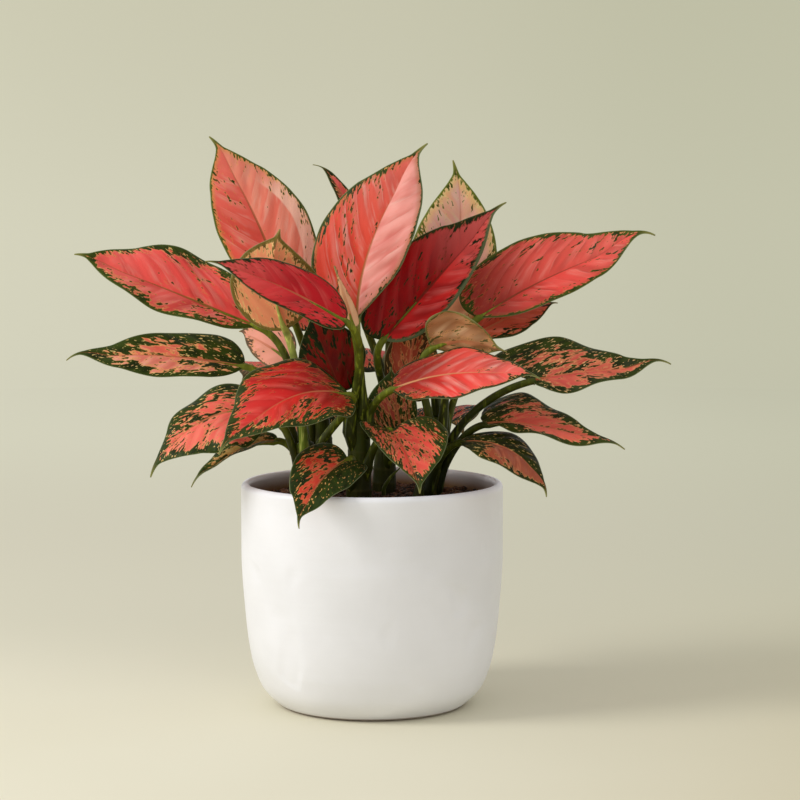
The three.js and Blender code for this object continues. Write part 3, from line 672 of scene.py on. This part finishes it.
class LeafSkin(Skin):
    """Red and green variegation that follows the side veins, paler on the underside."""

    def __init__(self, name, look, seed):
        self.look = {key: lit(value) if key in LIT else value for key, value in look.items()}
        self.seed = seed
        super().__init__(name, self.look["left"])
        self.reach, self.vein, self.rim, self.share, self.under, across = (
            self.attribute(k) for k in ("reach", "vein", "rim", "share", "under", "across")
        )
        self.half = across.math("GREATER_THAN")
        self.near = self.share.fall(0.1, 0.5)
        self.layer = self.half * 7.3 + seed * 3.7
        coarse = look["coarse"]
        self.streaks = self.pattern(0, 8.0 * coarse, 4.6 * coarse)
        self.dots = self.pattern(20, 3.6 * coarse, 1.7 * coarse)
        self.clumps = self.pattern(40, 26.0, 13.0, 1.0)
        self.sheen_strokes = self.pattern(80, 6.0, 13.0)

    def pattern(self, depth, length, width, detail=2.0):
        """Noise of a length along the side veins and a width across, from its own depth."""
        inputs = {0: self.vein * (1 / length), 1: self.reach * (1 / width), 2: self.layer + depth}
        return node(self.tree, "ShaderNodeCombineXYZ", inputs).noise(detail=detail)

    def on_half(self, value, right):
        return value * (self.half if right else self.half.fall(0.0, 1.0))

    def body(self):
        """The red of the two halves, with painted highlight and painted shade in soft bands between the
        side veins.
        """
        look, light, deep = self.look, self.look["light"], self.look["deep"]
        self.lay(look["right"], self.half)
        wobble = self.pattern(100, 30.0, 20.0) * 0.6
        turn = self.vein * (1 / VEIN_GAP) + 0.3 * math.sin(self.seed) + wobble
        saw = turn.math("FRACT")
        inner = self.reach.step(1.0, 6.0) * self.rim.step(2.0, 9.0)
        inner = inner * self.clumps.span(0.35, 0.6, 0.25, 1.0)
        self.lay(deep, self.pattern(60, 18.0, 16.0, 1.0).step(0.46, 0.7) * 0.5)
        # painted shade on each pleat just past its vein
        self.lay(deep, saw.fall(0.02, 0.35) * inner * 0.45)
        # a left half with painted shade keeps fewer veins, bands and streaks
        lively = self.half.span(0.0, 1.0, look["left_light"], 1.0)
        inner = inner * lively
        veins = (saw + -0.5).math("ABSOLUTE").step(0.43, 0.49)
        self.lay(light, veins * inner * 0.35)
        # painted highlight on each pleat
        bands = saw.step(0.45, 0.8) * saw.fall(0.86, 1.0)
        self.lay(light, bands * inner * look["bands"])
        # painted sheen in soft streaks along the side veins
        self.lay(light, self.sheen_strokes.step(0.52, 0.76) * lively * 0.4)
        self.lay(light, self.share.step(0.4, 0.9) * look["tipward"])
        # painted shade near the base
        self.lay(deep, self.near * look["baseward"])
        if look["verge"]:
            wide, weight, verge = look["verge"]
            self.lay(verge, self.rim.fall(0.35 * wide, wide) * weight)
        self.lay(look["under"], self.under * look["under_mix"])

    def greenness(self):
        """How green the leaf is at a point, before the specks: more so near its margin."""
        look = self.look
        strong, thick = look["edge"]
        border = (self.rim * (-1 / look["spread"])).math("EXPONENT") * look["border"]
        edge = (self.rim * (-1 / thick)).math("EXPONENT") * strong
        halves = self.half.span(0.0, 1.0, *look["spots"])
        return self.clumps.swing(0.5) + border + halves + edge + self.near * look["heel"]

    def strip(self, field):
        """Painted light: a pale strip along the margin of one half, up to a share of its length."""
        right, wide, until, pale = self.look["strip"]
        inside = self.rim.fall(wide - 1.5, wide) * self.share.fall(until - 0.15, until)
        inside = self.on_half(inside, right)
        self.lay(pale, inside * 0.9)
        return field + inside * 0.05

    def specks(self, field):
        """Green specks on a yellowish ground, with a few cream ones where it is greenest."""
        look = self.look
        mottle = field + self.streaks.swing(0.5) + self.dots.swing(0.85)
        outer = field.span(-0.25, -0.05, 0.25, 1.0)
        self.lay(look["halo"], mottle.step(-0.09, -0.02) * outer * look["ground"])
        dark = [c * 0.62 for c in look["green"]]
        green = self.streaks.step(0.4, 0.7).blend(look["green"], dark)
        self.lay(green, mottle.step(0.0, 0.035))
        cream = [min(c + lift, 255) for c, lift in zip(look["halo"], CREAM_LIFT)]
        flecks = self.pattern(140, 2.6, 1.4, 1.0).step(0.63, 0.68)
        self.lay(cream, flecks * field.step(-0.06, 0.04) * 0.8)

    def rib(self):
        """The midrib's line, which narrows and fades towards the tip."""
        slim = self.share.span(0.0, 1.0, 1.5, 0.4)
        middle = self.look["rib_reach"]
        fading = self.share.span(middle - 0.3, middle + 0.3, 0.9, 0.15)
        self.lay(self.look["rib"], self.reach.fall(slim * 0.5, slim) * fading)

    def margin(self):
        """A dark green line with a pale outer edge that is a painted highlight, a greyish painted
        reflection along one half's margin where set, and a yellowish tip.
        """
        look = self.look
        ragged = self.rim + self.dots.swing(2.5)
        self.lay(look["green"], ragged.fall(look["hem"], look["hem"] + 0.6) * 0.9)
        # painted highlight on the outer edge
        self.lay(EDGE_HIGHLIGHT_COLOUR, self.rim.fall(0.2, 0.55) * 0.6)
        # painted reflection along the rolled margin of one half
        if look["shine"]:
            right, wide, weight = look["shine"]
            self.lay(SHINE_COLOUR, self.on_half(self.rim.fall(0.4 * wide, wide), right) * weight)
        self.lay(TIP_COLOUR, self.share.step(0.92, 1.0) * 0.7)

    def build(self):
        self.body()
        field = self.greenness()
        if self.look["strip"]:
            field = self.strip(field)
        self.specks(field)
        self.rib()
        self.margin()
        self.lay(self.look["under"], self.under * 0.12)
        grain = self.pattern(120, 0.5, 0.5, 3.0)
        rough = grain * 0.3 + self.streaks * 0.5 + self.sheen_strokes * 0.5
        sockets = {
            "Roughness": grain.span(0.3, 0.7, 0.36, 0.48),
            "IOR": 1.45,
            "Specular IOR Level": 0.14,
            "Normal": rough.bump(0.0005),
        }
        return self.finish(sockets, self.look["glow"])


# ---- stalks ----
STALK_SIDES = 14
STALK_RADIUS = 2.45  # at its upper end
CLASP = 15  # how far down the cane the sheath reaches


def cane_axis(cane, z):
    k = (z - SOIL_TOP) / (cane.top[2] - SOIL_TOP)
    return np.array([*(a + (b - a) * k for a, b in zip(cane.foot, cane.top)), z])


def sheath(leaf, cane):
    """Where the stalk leaves its cane, with the path and radii of the sheath below that."""
    foot = cane_axis(cane, leaf.height)
    if leaf.height >= cane.top[2]:
        return foot, [], []
    a = math.atan2(leaf.base[1] - foot[1], leaf.base[0] - foot[0]) + math.radians(leaf.turn)
    out = np.array([math.cos(a), math.sin(a), 0.0])
    low = max(leaf.height - CLASP, SOIL_TOP + 0.5)
    path, radii = [], []
    for k in (0.0, 0.35, 0.7):
        z = low + (leaf.height - low) * k
        path.append(cane_axis(cane, z) + out * (cane.radii[1] - 2.5 + 3.2 * k))
        radii.append(2.6 + 1.9 * k)
    return foot + out * (cane.radii[1] + 1.2), path, radii


def stalk(leaf):
    """A stalk from its clasping foot on the cane to the rib under the blade."""
    foot, path, radii = sheath(leaf, CANES[leaf.cane])
    joint = midrib(leaf, 0.0)
    ahead = unit(midrib(leaf, 0.02) - joint)
    reach = np.linalg.norm(joint - foot)
    rise = 0.85 * foot + 0.15 * joint
    rise[2] = foot[2] + reach * 0.35
    enter = joint - 0.3 * reach * ahead
    for s in np.linspace(0, 1, 27):
        near = (1 - s) ** 3 * foot + 3 * s * (1 - s) ** 2 * rise
        path.append(near + 3 * s * s * (1 - s) * enter + s**3 * joint)
        radii.append(STALK_RADIUS + 0.5 * (1 - s) + 1.4 * max(1 - s / 0.28, 0) ** 1.5)
    faced = facing(*leaf.faces)
    for share in (0.08, 0.2, 0.4, 0.6, 0.8, 1.0):
        thin = 2.3 - 1.75 * share**0.7
        sunk = thin * 0.85 * min(share / 0.2, 1) + 0.3
        path.append(midrib(leaf, RIB_REACH * share) - faced * sunk)
        radii.append(thin)
    return stalk_mesh(path, radii)


def stalk_mesh(path, radii):
    climb = np.repeat(np.linspace(0, 1, len(path)), STALK_SIDES)
    return tube(path, radii, STALK_SIDES), sleeve(len(path), STALK_SIDES), {"climb": climb}


def stalk_material(name, low, high):
    """Green from low at the foot to high at the top, with pale lines and dark blotches."""
    skin = Skin(name, low)
    lines = skin.place().stretched(420.0, 420.0, 45.0).noise(detail=3.0)
    blotch = skin.place().noise(90.0)
    skin.lay(high, skin.attribute("climb").step(0.1, 0.95))
    skin.lay([min(c * 1.5 + 14, 255) for c in high], lines.step(0.52, 0.74) * 0.5)
    skin.lay([c * 0.55 for c in low], blotch.step(0.5, 0.7) * 0.45)
    return skin.finish({
        "Roughness": lines.span(0.3, 0.7, 0.36, 0.5),
        "IOR": 1.45,
        "Specular IOR Level": 0.16,
        "Normal": lines.bump(0.0003),
    })


for index, (name, leaf) in enumerate(LEAVES.items()):
    skin = LeafSkin(name + "_skin", leaf.look, index).build()
    piece(name + "_blade", blade(leaf, index), skin, name)
    rind = stalk_material(name + "_rind", *leaf.look["stalk"])
    piece(name + "_stalk", stalk(leaf), rind, name)


# ---- canes ----
CANE_SIDES = 28
CANE_ROWS = 70
CANE_DOME = 3  # height of its rounded top
GREEN_FROM = 70  # height above the soil where its colour is the upper one
SCAR_GAPS = (9, 15)
SCAR_HEIGHT = 0.2
SCAR_WIDTH = 0.7


def cane_material():
    skin = Skin("cane_bark", (42, 44, 0))
    lines = skin.place().stretched(300.0, 300.0, 40.0).noise(detail=4.0)
    blotch = skin.place().noise(70.0, 3.0)
    skin.lay((64, 76, 6), skin.attribute("climb").step(0.0, 0.9))
    skin.lay((34, 30, 12), blotch.step(0.45, 0.7) * 0.6)
    skin.lay((96, 100, 48), lines.step(0.5, 0.75) * 0.4)
    skin.lay((84, 78, 36), skin.attribute("scar") * 0.3)
    return skin.finish({
        "Roughness": blotch.span(0.3, 0.7, 0.42, 0.6),
        "Specular IOR Level": 0.16,
        "Normal": (lines + blotch * 0.6).bump(0.0005),
    })


def cane_mesh(cane, draw):
    """A cane with a low ring at each leaf scar and a rounded top."""
    summit = cane.top[2]
    scars = []
    z = SOIL_TOP + 6
    while z < summit - 6:
        scars.append(z)
        z += draw.uniform(*SCAR_GAPS)
    dome = summit - np.array([2, 1, 0.3, 0])
    heights = np.linspace(SOIL_TOP - 1, summit - CANE_DOME, CANE_ROWS)
    heights = np.concatenate([heights, dome])
    path, radii, scarred = [], [], []
    for z in heights:
        k = (z - SOIL_TOP) / (summit - SOIL_TOP)
        ring = max(math.exp(-(((z - s) / SCAR_WIDTH) ** 2)) for s in scars)
        waist = min(abs(z - s) for s in scars)
        round_off = math.sqrt(max(1 - max(z - (summit - CANE_DOME), 0) ** 2 / 9.2, 0.01))
        swell = SCAR_HEIGHT * ring - 0.03 * min(waist, 6)
        path.append(cane_axis(cane, z))
        radii.append((cane.radii[0] + (cane.radii[1] - cane.radii[0]) * k + swell) * round_off)
        scarred.append(ring)
    values = {
        "climb": np.repeat(np.clip((heights - SOIL_TOP) / GREEN_FROM, 0, 1), CANE_SIDES),
        "scar": np.repeat(scarred, CANE_SIDES),
    }
    return tube(path, radii, CANE_SIDES), sleeve(len(path), CANE_SIDES), values


scar_draw = random.Random(5)
bark = cane_material()
for name, cane in CANES.items():
    piece(name + "_stem", cane_mesh(cane, scar_draw), bark, name)


# ---- young shoot beside the centre cane ----
SHOOT = [(8, -1, SOIL_TOP + 0.3), (8, -1, 148), (12, -2.5, 156), (19, -5, 163.5)]
SHOOT_RADII = (1.64, 1.476, 1.148, 0.41)
SHOOT_COLOURS = ((46, 56, 14), (96, 106, 40))


def shoot():
    knots = np.arange(len(SHOOT))
    at = np.linspace(0, len(SHOOT) - 1, 24)
    route = np.array(SHOOT, dtype=float)
    path = np.stack([eased(at, knots, route[:, k]) for k in range(3)], axis=1)
    return stalk_mesh(path, eased(at, knots, np.array(SHOOT_RADII)))


rind = stalk_material("shoot_skin", *SHOOT_COLOURS)
piece("shoot_small_spike", shoot(), rind, "shoot_small")


# ---- pot ----
POT_SIDES = 256
POLE = 6  # radius of the flat middle of its underside and floor
LIP_REACH = 3
LIP_RISE = 4
OUTER = [
    (61, 0), (62.5, 0.35), (70, 6), (76, 13), (80, 22), (83, 32), (86, 50), (88, 71), (89.3, 88),
    (90, 104), (90, 128), (90, 150),
]
INNER = [
    (84, 150), (84, 128), (84, 100), (82, 71), (79.5, 46), (76, 30), (70, 18), (62, 10),
    (52, 7.1), (40, 7),
]


def profile_curve(points, steps):
    """A smooth curve through profile points, evenly stepped by their spacing."""
    p = np.array(points, dtype=float)
    d = travelled(p)
    at = np.linspace(0, d[-1], steps)
    return np.stack([eased(at, d, p[:, 0]), eased(at, d, p[:, 1])], axis=1)


def pot_profile():
    rows = [(POLE, 0.0), (30, 0.0), (58, 0.0)]
    rows += profile_curve(OUTER, 70).tolist()
    for k in range(1, 13):
        a = math.pi * k / 12
        out = POT_RADIUS - LIP_REACH + LIP_REACH * math.cos(a)
        rows.append((out, POT_HEIGHT - LIP_RISE + LIP_RISE * math.sin(a)))
    rows += profile_curve(INNER, 44)[1:].tolist()
    rows += [(20, POT_FLOOR), (POLE, POT_FLOOR)]
    return rows


def pot_material():
    """White glaze with slight dents, painted shade in a brown band along its bottom edge, and brown inside
    above the soil, fading out towards the rim.
    """
    skin = Skin("ceramic", (232, 232, 236))
    place = skin.place()
    x, y, z = (place.part(k) for k in range(3))
    radius = (x * x + y * y).math("SQRT")
    cloud = place.noise(14.0, 3.0)
    skin.lay((240, 240, 245), cloud.step(0.3, 0.7))
    # painted shade: a brown band along the bottom edge, for the dark line where the foot meets the floor
    skin.lay((146, 118, 88), z.fall(0.0008, 0.0026) * 0.8)
    inside = radius.fall(0.0842, 0.0852)
    # brown inside, full at the soil and fading out towards the rim
    inner_brown = (z + cloud * -0.008).fall(0.137, 0.152)
    skin.lay((138, 96, 42), inside * inner_brown * z.step(0.1, 0.11))
    turning = place.stretched(6.0, 6.0, 120.0).noise()
    dents = place.noise(26.0, 1.0).step(0.62, 0.78)
    height = turning * 0.6 + place.noise(420.0, 3.0) * 0.12 + cloud * 3.0 + dents * -2.2
    return skin.finish({
        "Roughness": cloud.span(0.3, 0.7, 0.34, 0.46),
        "IOR": 1.5,
        "Coat Weight": 0.15,
        "Coat Roughness": 0.25,
        "Normal": height.bump(0.0004),
    })


piece("pot_ceramic", (*lathe(pot_profile(), POT_SIDES), {}), pot_material(), "pot")


# ---- soil ----
SOIL_RADIUS = 83.6
SOIL_DEPTH = 14
SOIL_RINGS = 60
SOIL_SIDES = 180
CRUMBS = 1500
CRUMB_SIZES = (0.9, 1.3, 1.3, 1.8, 2.4, 3.0)
GOLDEN = (1 + math.sqrt(5)) / 2
CRUMB_CORNERS = [
    np.roll((b, a, 0), k).tolist() for k in range(3) for a in (GOLDEN, -GOLDEN) for b in (-1, 1)
]
CRUMB_FACES = [
    (0, 11, 5), (0, 5, 1), (0, 1, 7), (0, 7, 10), (0, 10, 11), (1, 5, 9), (5, 11, 4),
    (11, 10, 2), (10, 7, 6), (7, 1, 8), (3, 9, 4), (3, 4, 2), (3, 2, 6), (3, 6, 8),
    (3, 8, 9), (4, 9, 5), (2, 4, 11), (6, 2, 10), (8, 6, 7), (9, 8, 1),
]


def soil_material():
    skin = Skin("compost", (30, 17, 8))
    clod = skin.place().noise(160.0, 4.0, 0.65)
    glints = skin.place().noise(900.0, 3.0)
    skin.lay((110, 70, 42), clod.step(0.35, 0.7))
    # painted highlights: pale specks on the crumbs
    skin.lay((214, 150, 96), glints.step(0.62, 0.75) * 0.75)
    return skin.finish({"Roughness": 0.92, "Normal": (clod + glints * 0.5).bump(0.0012)})


def soil_height(x, y):
    r = math.hypot(x, y) / SOIL_RADIUS
    lumps = math.sin(x / 7.1 + 1) * math.cos(y / 6.3) + 0.6 * math.sin(x / 3.1 - y / 3.7)
    return SOIL_TOP - 1.2 - 1.4 * r**3 + 0.5 * lumps


def soil_bed():
    """A disc with a lumpy top, whose underside lies SOIL_DEPTH lower."""
    turns = [math.tau * j / SOIL_SIDES for j in range(SOIL_SIDES)]
    points = [(0.0, 0.0, soil_height(0, 0))]
    for i in range(1, SOIL_RINGS + 1):
        r = SOIL_RADIUS * i / SOIL_RINGS
        for a in turns:
            x, y = r * math.cos(a), r * math.sin(a)
            points.append((x, y, soil_height(x, y)))
    under = SOIL_TOP - SOIL_DEPTH
    points += [(SOIL_RADIUS * math.cos(a), SOIL_RADIUS * math.sin(a), under) for a in turns]
    faces = [(0, 1 + j, 1 + (j + 1) % SOIL_SIDES) for j in range(SOIL_SIDES)]
    for i in range(SOIL_RINGS):
        for j in range(SOIL_SIDES):
            a, b = 1 + i * SOIL_SIDES + j, 1 + i * SOIL_SIDES + (j + 1) % SOIL_SIDES
            faces.append((a, a + SOIL_SIDES, b + SOIL_SIDES, b))
    faces.append(tuple(1 + SOIL_RINGS * SOIL_SIDES + j for j in reversed(range(SOIL_SIDES))))
    return points, faces


def add_crumb(points, faces, x, y, z, size, draw):
    """A lumpy bit of compost with twelve corners and twenty sides."""
    first = len(points)
    a = draw.uniform(0, math.tau)
    squat = (draw.uniform(0.8, 1.5), draw.uniform(0.7, 1.1), draw.uniform(0.5, 0.9))
    for corner in CRUMB_CORNERS:
        k = size / 1.9 * draw.uniform(0.75, 1.2)
        px, py, pz = (c * s * k for c, s in zip(corner, squat))
        points.append((
            x + px * math.cos(a) - py * math.sin(a),
            y + px * math.sin(a) + py * math.cos(a),
            z + pz,
        ))
    faces.extend(tuple(first + i for i in face) for face in CRUMB_FACES)


points, faces = soil_bed()
crumb_draw = random.Random(11)
for _ in range(CRUMBS):
    r = (SOIL_RADIUS - 4) * math.sqrt(crumb_draw.random())
    a = crumb_draw.uniform(0, math.tau)
    size = crumb_draw.choice(CRUMB_SIZES)
    x, y = r * math.cos(a), r * math.sin(a)
    add_crumb(points, faces, x, y, soil_height(x, y) + size * 0.25, size, crumb_draw)
piece("soil_compost", (points, faces, {}), soil_material(), "soil")


# ---- room, in metres: a floor that runs up into a plain backdrop, lights and camera ----
FLOOR_RADIUS = 2.6
COVE_RADIUS = 1.6
WALL_TOP = 4.0
ROOM_SIDES = 96
LAMP_COLOUR = (1.0, 0.99, 0.97)
SKY_COLOUR = (240, 240, 239)
SKY_STRENGTH = 0.86


def paper():
    """Pale card whose tone falls off a little away from the pot and to its right, as painted light and
    painted shadow.
    """
    skin = Skin("paper", (222, 217, 195))
    aside, away = (skin.place().part(k) for k in (0, 1))
    skin.lay((225, 220, 199), skin.place().noise(3.0).step(0.3, 0.7))
    # painted light: the tone changes with distance behind the pot
    skin.lay((209, 205, 185), away.step(-0.1, 0.35))
    skin.lay((220, 218, 196), away.step(0.6, 1.9))
    skin.lay((211, 209, 186), away.step(3.3, 4.1))
    # painted shadow to the pot's right, warmer close to the pot
    near = away.fall(-0.4, 0.9)
    shaded = near.blend((194, 196, 168), (198, 186, 150))
    skin.lay(shaded, aside.step(-0.1, 0.7) * near.span(0.0, 1.0, 0.4, 1.0))
    return skin.finish({"Roughness": 0.9, "Specular IOR Level": 0.1})


def sweep(name, rows, material):
    """A round open surface that is part of the room. rows are radius and height."""
    points, faces = lathe(rows, ROOM_SIDES)
    made = new_object(name, points.tolist(), faces[:-2], material)
    return made


def lamp(name, place, target, size, power):
    light = bpy.data.lights.new(name, "AREA")
    light.shape = "DISK"
    light.size = size
    light.energy = power
    light.color = LAMP_COLOUR
    made = bpy.data.objects.new(name, light)
    made.location = place
    aim = np.array(target) - np.array(place)
    flat = math.hypot(aim[0], aim[1])
    made.rotation_euler = (math.atan2(flat, -aim[2]), 0, math.atan2(-aim[0], aim[1]))
    bpy.context.scene.collection.objects.link(made)


def cove():
    """The backdrop's profile: a quarter circle up from the floor, then a wall."""
    turns = np.linspace(0, math.pi / 2, 17)
    out, up = FLOOR_RADIUS + COVE_RADIUS * np.sin(turns), COVE_RADIUS * (1 - np.cos(turns))
    return [*zip(out, up), (FLOOR_RADIUS + COVE_RADIUS, WALL_TOP)]


card = paper()
sweep("floor", [(0.01, 0.0)] + [(r, 0.0) for r in np.linspace(0.3, FLOOR_RADIUS, 10)], card)
backdrop = sweep("backdrop", cove(), card)
# only the camera sees the backdrop, so that it keeps no light out
for rays in ("diffuse", "glossy", "transmission", "shadow"):
    setattr(backdrop, "visible_" + rays, False)
lamp("key", (-1.75, -0.56, 1.3), (0, 0, 0.2), 0.9, 25)
lamp("wash", (-2.4, 2.0, 1.8), (-0.9, 4.1, 1.3), 0.8, 14)
world = bpy.data.worlds.new("room")
world.use_nodes = True
sky = world.node_tree.nodes["Background"]
sky.inputs["Color"].default_value = linear(SKY_COLOUR)
sky.inputs["Strength"].default_value = SKY_STRENGTH
bpy.context.scene.world = world
bpy.context.scene.view_settings.view_transform = "Standard"

camera = bpy.data.objects.new("camera", bpy.data.cameras.new("camera"))
camera.data.lens = 110
camera.data.sensor_width = 36
camera.data.clip_end = 30
camera.location = (0.0192, -1.67, 0.362)
camera.rotation_euler = (math.radians(84.8), 0, 0)
bpy.context.scene.collection.objects.link(camera)
bpy.context.scene.camera = camera
